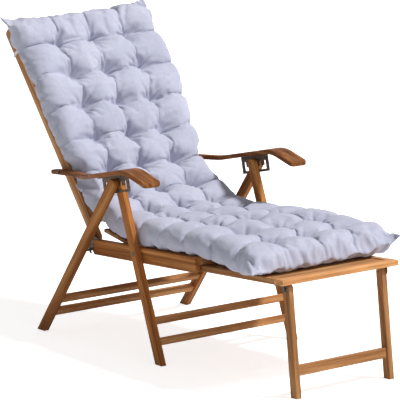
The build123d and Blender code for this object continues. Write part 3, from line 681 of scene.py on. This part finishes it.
def easeFarSide(points, look=farSide):
    s = points[:, 1]
    towardsFar = 0.5 + 0.5 * np.clip(points[:, 0] / pad["halfWidth"], -1, 1)
    onFoot = ease((look["asideFoot"] - s) / look["asideFootFade"])
    onHead = ease((s - padLength + look["asideHead"]) / look["asideHeadFade"])
    fuller = look["full"] * towardsFar ** 2 * ease((look["fullFoot"] - s) / look["fullFade"])
    points[:, 2] *= 1 + fuller
    wider = look["aside"] * towardsFar * (onFoot + onHead)
    points[:, 0] += wider * (1 - look["asideLost"] * cornerShare(s))
    return points


def bendPoints(points):
    # X stays, Y runs along the path and Z stands off it
    s, h = points[:, 1], points[:, 2]
    inside = np.clip(s, 0, padLength)
    line = np.stack([np.interp(inside, pathPlaces, pathLine[:, k]) for k in (0, 1)], 1)
    way = np.gradient(pathLine, pathPlaces, axis=0)
    tangent = np.stack([np.interp(inside, pathPlaces, way[:, k]) for k in (0, 1)], 1)
    tangent /= np.linalg.norm(tangent, axis=1)[:, None]
    line = line + tangent * (s - inside)[:, None]
    normal = np.stack([-tangent[:, 1], tangent[:, 0]], 1)
    side = line + normal * h[:, None]
    return np.stack([points[:, 0], side[:, 0], side[:, 1]], 1)


room = {
    "legs": 0.2438,           # half width between the legs
    "legsFree": 0.09,         # how much wider it is where no leg passes
    "legsBefore": 0.02,       # that is ahead of here, from the seat's pivot
    "beforeFade": 0.12,
    "legsTop": 0.47,          # and above here
    "topFade": 0.10,
    "arms": 0.2212,           # half width between the arms' tails
    "armsFree": 0.07,
    "tailSlope": 0.09,        # the tail's rise ahead of its pivot
    "tailHalf": 0.0115,       # half the band that it sweeps, at the pivot
    "tailSweep": 0.19,        # and how that widens away from it
    "tailFade": 0.05,
    "tailLong": 0.16,
    "longFade": 0.07,
    "soft": 0.028,            # the sides give way over this much
}


def drawIn(points, look=room):
    # keeps the sides clear of the legs and the arms' tails, through their whole motion
    y, z = points[:, 1], points[:, 2]
    before = ease((seatPivot.y - look["legsBefore"] - y) / look["beforeFade"])
    above = ease((z - look["legsTop"]) / look["topFade"])
    legs = look["legs"] + look["legsFree"] * before + look["legsFree"] * above
    forward = armPivot.y - y
    reach = np.abs(forward)
    beside = np.abs(z - armPivot.z - look["tailSlope"] * forward)
    band = look["tailHalf"] + look["tailSweep"] * reach
    clear = ease((beside - band) / look["tailFade"])
    beyond = ease((reach - look["tailLong"]) / look["longFade"])
    arms = look["arms"] + look["armsFree"] * clear + look["armsFree"] * beyond
    inner = np.minimum(legs, arms) - look["soft"]
    size = np.abs(points[:, 0])
    past = size - inner
    size = np.where(past > 0, inner + look["soft"] * np.tanh(past / look["soft"]), size)
    points[:, 0] = np.sign(points[:, 0]) * size
    return points


padMesh, upperCount, stillBorder = makePadMesh()
padObject = bpy.data.objects.new("cushion", padMesh)
scene.collection.objects.link(padObject)
stuff(padObject, padMesh, upperCount, stillBorder)
padMesh = divide(padObject, padMesh)
addWrinkles(padMesh)
writePoints(padMesh, drawIn(bendPoints(easeFarSide(readPoints(padMesh)))))
for face in padMesh.polygons:
    face.use_smooth = True
padMesh.materials.clear()
padMesh.materials.append(cotton)
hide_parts("cushion_seat", "cushion_back")
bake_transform(padObject)
print("cushion", len(padMesh.vertices), "points")


# Floor, light and camera

studio = {
    "world": 0.21,
    "key": (3.35, 8.0, (0.48, -0.50, 0.95)),   # strength, softness in degrees, where it shines from
    "fill": (0.25, 60.0, (0.2, -0.9, 0.3)),
    "floor": (0.93, 0.93, 0.93),
    "floorSize": 60,
    "floorRoughness": 0.9,
    "floorGlow": 0.72,        # for the rays that see a plain white background
}
white = (1, 1, 1, 1)


def seenRays(tree):
    # 1 for camera, mirror and glass rays, which see plain white
    path = tree.nodes.new("ShaderNodeLightPath")
    seen = addNode(tree.nodes, "ShaderNodeMath", operation="MAXIMUM")
    seenAll = addNode(tree.nodes, "ShaderNodeMath", operation="MAXIMUM")
    tree.links.new(path.outputs["Is Camera Ray"], seen.inputs[0])
    tree.links.new(path.outputs["Is Glossy Ray"], seen.inputs[1])
    tree.links.new(seen.outputs[0], seenAll.inputs[0])
    tree.links.new(path.outputs["Is Transmission Ray"], seenAll.inputs[1])
    return seenAll.outputs[0]


world = bpy.data.worlds.new("studio")
scene.world = world
world.use_nodes = True
worldNodes, worldLinks = world.node_tree.nodes, world.node_tree.links
lightShade = worldNodes["Background"]
lightShade.inputs["Color"].default_value = white
lightShade.inputs["Strength"].default_value = studio["world"]
whiteShade = addNode(worldNodes, "ShaderNodeBackground", Color=white, Strength=1.0)
worldMix = worldNodes.new("ShaderNodeMixShader")
worldLinks.new(seenRays(world.node_tree), worldMix.inputs["Fac"])
worldLinks.new(lightShade.outputs[0], worldMix.inputs[1])
worldLinks.new(whiteShade.outputs[0], worldMix.inputs[2])
worldLinks.new(worldMix.outputs[0], worldNodes["World Output"].inputs["Surface"])

bpy.ops.mesh.primitive_plane_add(size=studio["floorSize"], location=(0, 0, 0))
floor = bpy.context.object
floor.name = "floor"
floorMaterial, floorNodes, floorLinks, floorShader = newMaterial("paleFloor")
floorShader.inputs["Base Color"].default_value = (*studio["floor"], 1)
floorShader.inputs["Roughness"].default_value = studio["floorRoughness"]
floorShader.inputs["Emission Color"].default_value = white
glow = addNode(floorNodes, "ShaderNodeMath", operation="MULTIPLY")
floorLinks.new(seenRays(floorMaterial.node_tree), glow.inputs[0])
glow.inputs[1].default_value = studio["floorGlow"]
floorLinks.new(glow.outputs[0], floorShader.inputs["Emission Strength"])
floor.data.materials.append(floorMaterial)


def addSun(name, strength, softness, source):
    lamp = bpy.data.lights.new(name, "SUN")
    lamp.energy = strength
    lamp.angle = math.radians(softness)
    holder = bpy.data.objects.new(name, lamp)
    scene.collection.objects.link(holder)
    holder.rotation_euler = (-Vector(source)).to_track_quat("-Z", "Y").to_euler()


addSun("keyLamp", *studio["key"])
addSun("fillLamp", *studio["fill"])

view = {
    "azimuth": -38.08,
    "elevation": 11.32,
    "place": (-5.0454, -6.4529, 2.0820),
    "focalPixels": 2756.3,
    "imageHeight": 401,
    "sensorWidth": 36,
    "clipEnd": 100,
}
cameraData = bpy.data.cameras.new("camera")
camera = bpy.data.objects.new("camera", cameraData)
scene.collection.objects.link(camera)
scene.camera = camera
cameraData.sensor_width = view["sensorWidth"]
cameraData.lens = view["focalPixels"] * view["sensorWidth"] / view["imageHeight"]
cameraData.clip_end = view["clipEnd"]
azimuth, elevation = math.radians(view["azimuth"]), math.radians(view["elevation"])
level = math.cos(elevation)
backwards = Vector((math.sin(azimuth) * level, -math.cos(azimuth) * level, math.sin(elevation)))
camera.location = view["place"]
camera.rotation_euler = (-backwards).to_track_quat("-Z", "Y").to_euler()
scene.view_settings.view_transform = "Standard"
print("floor, light and camera ready")
